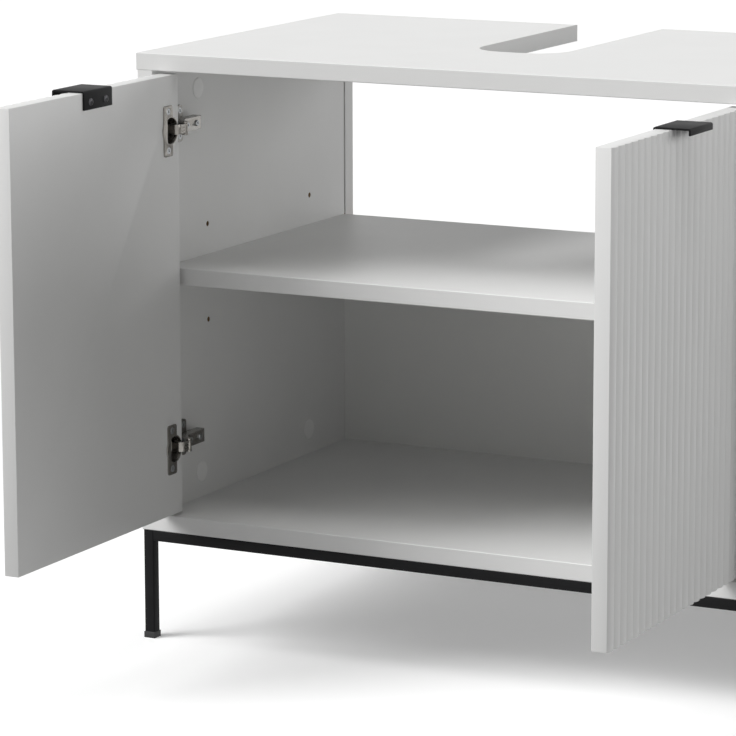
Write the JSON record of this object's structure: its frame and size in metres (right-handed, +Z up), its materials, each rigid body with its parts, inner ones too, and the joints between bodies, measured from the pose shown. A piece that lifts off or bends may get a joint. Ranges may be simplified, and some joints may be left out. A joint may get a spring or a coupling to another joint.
{
  "type": "sink base cabinet",
  "caption": "Bathroom sink base cabinet: white carcass on a black tube base, ribbed inset doors on concealed hinges, a shelf, and a pipe cut-out in the top.",
  "frame": {"origin": "on the floor, at the centre of the space taken by the carcass with both doors open a quarter turn", "axes": "+X to the right seen from the front, +Y from the doors to the wall, +Z up"},
  "size_m": [0.62, 0.6766, 0.555],
  "materials": {
    "white_board": "white melamine-faced board, fine matt grain, edge banded",
    "white_fluted": "white foil-wrapped fibreboard, satin",
    "white_back": "thin white-faced fibreboard",
    "white_cover": "moulded white plastic",
    "black_steel": "black powder coat",
    "black_plastic": "moulded black plastic",
    "black_handle": "black powder coat, fine",
    "black_screw": "blackened steel",
    "nickel": "nickel-plated pressed steel",
    "nickel_cast": "nickel-plated cast zinc",
    "zinc_screw": "zinc-plated steel",
    "beech": "turned beech"
  },
  "bodies": {
    "carcass": {"top_panel": "white_board", "bottom_panel": "white_board", "left_side_panel": "white_board", "right_side_panel": "white_board", "shelf": "white_board", "back_panel": "white_back", "shelf_pins": "nickel", "cam_bolts": "zinc_screw", "cams": "nickel_cast", "cam_covers": "white_cover", "dowels": "beech", "base_front_rail": "black_steel", "base_rear_rail": "black_steel", "base_left_rail": "black_steel", "base_right_rail": "black_steel", "front_left_leg": "black_steel", "front_right_leg": "black_steel", "front_left_foot": "black_plastic", "front_right_foot": "black_plastic", "rear_left_leg": "black_steel", "rear_right_leg": "black_steel", "rear_left_foot": "black_plastic", "rear_right_foot": "black_plastic", "frame_screws": "black_screw", "left_hinge_arm_pins": "nickel", "right_hinge_arm_pins": "nickel", "left_hinge_arms": "nickel", "right_hinge_arms": "nickel", "left_hinge_adjusters": "nickel", "right_hinge_adjusters": "nickel", "left_hinge_plates": "nickel_cast", "right_hinge_plates": "nickel_cast", "left_hinge_plate_screws": "zinc_screw", "right_hinge_plate_screws": "zinc_screw"},
    "left_hinge_links": {"left_hinge_links": "nickel"},
    "left_door": {"left_door": "white_fluted", "left_handle": "black_handle", "left_handle_screws": "black_screw", "left_hinge_cups": "nickel", "left_hinge_cup_pins": "nickel", "left_hinge_cup_screws": "zinc_screw"},
    "right_hinge_links": {"right_hinge_links": "nickel"},
    "right_door": {"right_door": "white_fluted", "right_handle": "black_handle", "right_handle_screws": "black_screw", "right_hinge_cups": "nickel", "right_hinge_cup_pins": "nickel", "right_hinge_cup_screws": "zinc_screw"}
  },
  "joints": [
    {"name": "left_link_swing", "type": "hinge", "parent": "carcass", "child": "left_hinge_links", "pos_m": [-0.27, -0.04245, 0.1865], "axis": [0, 0, 1], "range_deg": [-8.04, 0.45]},
    {"name": "left_door_swing", "type": "hinge", "parent": "left_hinge_links", "child": "left_door", "pos_m": [-0.2813, -0.05667, 0.1865], "axis": [0, 0, 1], "range_deg": [-5.45, 98.04]},
    {"name": "right_link_swing", "type": "hinge", "parent": "carcass", "child": "right_hinge_links", "pos_m": [0.27, -0.04245, 0.1865], "axis": [0, 0, 1], "range_deg": [-0.45, 8.04]},
    {"name": "right_door_swing", "type": "hinge", "parent": "right_hinge_links", "child": "right_door", "pos_m": [0.2813, -0.05667, 0.1865], "axis": [0, 0, 1], "range_deg": [-98.04, 5.45]}
  ],
  "couplings": [
    {"joint": "left_link_swing", "follows": "left_door_swing", "ratio": -0.081968},
    {"joint": "right_link_swing", "follows": "right_door_swing", "ratio": -0.081968}
  ]
}
